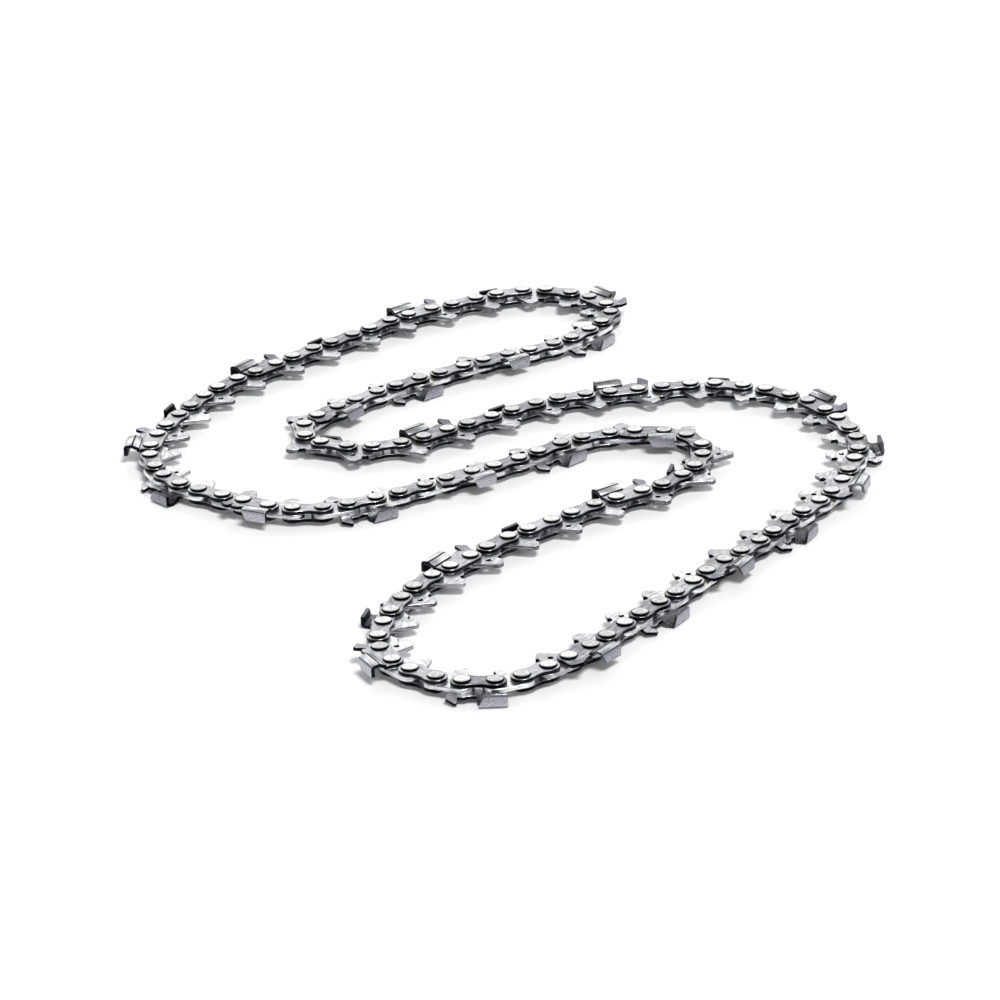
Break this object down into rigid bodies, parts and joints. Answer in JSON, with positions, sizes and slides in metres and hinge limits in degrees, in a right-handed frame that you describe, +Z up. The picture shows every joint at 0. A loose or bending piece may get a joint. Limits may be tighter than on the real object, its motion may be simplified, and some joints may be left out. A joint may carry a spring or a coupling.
{
  "type": "saw chain",
  "caption": "Loop of chainsaw chain lying on its side in a loose S shape: tanged drive links, tie straps, left and right cutters and rivets, hinged so that the loop flexes.",
  "frame": {"origin": "middle of the loop's bounding box, on the surface that the loop lies on", "axes": "+Z up along the rivet axes, +Y along the loop's longest extent and away from the viewer, +X to the right"},
  "size_m": [0.2286, 0.3102, 0.0063],
  "materials": {
    "drive_link_steel": "bright stamped steel",
    "side_link_steel": "blue-grey tumbled steel",
    "rivet_steel": "bright spun steel"
  },
  "bodies": {
    "section_01": {"drive_links_01": "drive_link_steel", "side_links_01": "side_link_steel", "rivets_01": "rivet_steel"},
    "section_02": {"drive_links_02": "drive_link_steel", "side_links_02": "side_link_steel", "rivets_02": "rivet_steel"},
    "section_03": {"drive_links_03": "drive_link_steel", "side_links_03": "side_link_steel", "rivets_03": "rivet_steel"},
    "section_04": {"drive_links_04": "drive_link_steel", "side_links_04": "side_link_steel", "rivets_04": "rivet_steel"},
    "section_05": {"drive_links_05": "drive_link_steel", "side_links_05": "side_link_steel", "rivets_05": "rivet_steel"},
    "section_06": {"drive_links_06": "drive_link_steel", "side_links_06": "side_link_steel", "rivets_06": "rivet_steel"},
    "section_07": {"drive_links_07": "drive_link_steel", "side_links_07": "side_link_steel", "rivets_07": "rivet_steel"},
    "section_08": {"drive_links_08": "drive_link_steel", "side_links_08": "side_link_steel", "rivets_08": "rivet_steel"},
    "section_09": {"drive_links_09": "drive_link_steel", "side_links_09": "side_link_steel", "rivets_09": "rivet_steel"},
    "section_10": {"drive_links_10": "drive_link_steel", "side_links_10": "side_link_steel", "rivets_10": "rivet_steel"},
    "section_11": {"drive_links_11": "drive_link_steel", "side_links_11": "side_link_steel", "rivets_11": "rivet_steel"},
    "section_12": {"drive_links_12": "drive_link_steel", "side_links_12": "side_link_steel", "rivets_12": "rivet_steel"},
    "section_13": {"drive_links_13": "drive_link_steel", "side_links_13": "side_link_steel", "rivets_13": "rivet_steel"},
    "section_14": {"drive_links_14": "drive_link_steel", "side_links_14": "side_link_steel", "rivets_14": "rivet_steel"},
    "section_15": {"drive_links_15": "drive_link_steel", "side_links_15": "side_link_steel", "rivets_15": "rivet_steel"},
    "section_16": {"drive_links_16": "drive_link_steel", "side_links_16": "side_link_steel", "rivets_16": "rivet_steel"},
    "section_17": {"drive_links_17": "drive_link_steel", "side_links_17": "side_link_steel", "rivets_17": "rivet_steel"},
    "section_18": {"drive_links_18": "drive_link_steel", "side_links_18": "side_link_steel", "rivets_18": "rivet_steel"}
  },
  "joints": [
    {"name": "pivot_17", "type": "hinge", "parent": "section_16", "child": "section_17", "pos_m": [-0.02311, -0.01242, 0.00315], "axis": [0, 0, 1], "range_deg": [-8.7, 8.7]},
    {"name": "pivot_18", "type": "hinge", "parent": "section_17", "child": "section_18", "pos_m": [-0.08278, -0.01396, 0.00315], "axis": [0, 0, 1], "range_deg": [-1, 1]},
    {"name": "pivot_01", "type": "hinge", "parent": "section_18", "child": "section_01", "pos_m": [-0.10239, 0.04263, 0.00315], "axis": [0, 0, 1], "range_deg": [-8.3, 8.3]},
    {"name": "pivot_02", "type": "hinge", "parent": "section_01", "child": "section_02", "pos_m": [-0.06513, 0.09614, 0.00315], "axis": [0, 0, 1], "range_deg": [-5.1, 5.1]},
    {"name": "pivot_03", "type": "hinge", "parent": "section_02", "child": "section_03", "pos_m": [-0.01418, 0.13767, 0.00315], "axis": [0, 0, 1], "range_deg": [-4.4, 4.4]},
    {"name": "pivot_04", "type": "hinge", "parent": "section_03", "child": "section_04", "pos_m": [0.037, 0.12416, 0.00315], "axis": [0, 0, 1], "range_deg": [-1.7, 1.7]},
    {"name": "pivot_05", "type": "hinge", "parent": "section_04", "child": "section_05", "pos_m": [-0.01107, 0.08211, 0.00315], "axis": [0, 0, 1], "range_deg": [-4.5, 4.5]},
    {"name": "pivot_06", "type": "hinge", "parent": "section_05", "child": "section_06", "pos_m": [-0.05994, 0.03867, 0.00315], "axis": [0, 0, 1], "range_deg": [-3, 3]},
    {"name": "pivot_07", "type": "hinge", "parent": "section_06", "child": "section_07", "pos_m": [-0.01, 0.03423, 0.00315], "axis": [0, 0, 1], "range_deg": [-5.6, 5.6]},
    {"name": "pivot_16", "type": "hinge", "parent": "section_16", "child": "section_15", "pos_m": [0.03273, 0.0221, 0.00315], "axis": [0, 0, 1], "range_deg": [-4.8, 4.8]},
    {"name": "pivot_15", "type": "hinge", "parent": "section_15", "child": "section_14", "pos_m": [0.04667, -0.0188, 0.00315], "axis": [0, 0, 1], "range_deg": [-1.8, 1.8]},
    {"name": "pivot_14", "type": "hinge", "parent": "section_14", "child": "section_13", "pos_m": [-0.00534, -0.05911, 0.00315], "axis": [0, 0, 1], "range_deg": [-6.4, 6.4]},
    {"name": "pivot_13", "type": "hinge", "parent": "section_13", "child": "section_12", "pos_m": [-0.03591, -0.11602, 0.00315], "axis": [0, 0, 1], "range_deg": [-5, 5]},
    {"name": "pivot_12", "type": "hinge", "parent": "section_12", "child": "section_11", "pos_m": [0.00996, -0.1394, 0.00315], "axis": [0, 0, 1], "range_deg": [-4.4, 4.4]},
    {"name": "pivot_11", "type": "hinge", "parent": "section_11", "child": "section_10", "pos_m": [0.05165, -0.08839, 0.00315], "axis": [0, 0, 1], "range_deg": [-7.6, 7.6]},
    {"name": "pivot_10", "type": "hinge", "parent": "section_10", "child": "section_09", "pos_m": [0.09128, -0.03563, 0.00315], "axis": [0, 0, 1], "range_deg": [-6.1, 6.1]},
    {"name": "pivot_09", "type": "hinge", "parent": "section_09", "child": "section_08", "pos_m": [0.10198, 0.02679, 0.00315], "axis": [0, 0, 1], "range_deg": [-8.5, 8.5]}
  ],
  "couplings": [
    {"joint": "pivot_18", "follows": "pivot_17", "ratio": -0.10417},
    {"joint": "pivot_01", "follows": "pivot_17", "ratio": -0.9498},
    {"joint": "pivot_02", "follows": "pivot_17", "ratio": 0.57714},
    {"joint": "pivot_03", "follows": "pivot_17", "ratio": 0.50254},
    {"joint": "pivot_04", "follows": "pivot_17", "ratio": -0.18894},
    {"joint": "pivot_05", "follows": "pivot_17", "ratio": -0.50953},
    {"joint": "pivot_06", "follows": "pivot_17", "ratio": -0.33517},
    {"joint": "pivot_07", "follows": "pivot_17", "ratio": 0.63928},
    {"joint": "pivot_16", "follows": "pivot_17", "ratio": -0.54857},
    {"joint": "pivot_15", "follows": "pivot_17", "ratio": -0.20261},
    {"joint": "pivot_14", "follows": "pivot_17", "ratio": 0.72585},
    {"joint": "pivot_13", "follows": "pivot_17", "ratio": 0.5627},
    {"joint": "pivot_12", "follows": "pivot_17", "ratio": -0.49238},
    {"joint": "pivot_11", "follows": "pivot_17", "ratio": -0.86062},
    {"joint": "pivot_10", "follows": "pivot_17", "ratio": 0.69558},
    {"joint": "pivot_09", "follows": "pivot_17", "ratio": 0.96649}
  ]
}
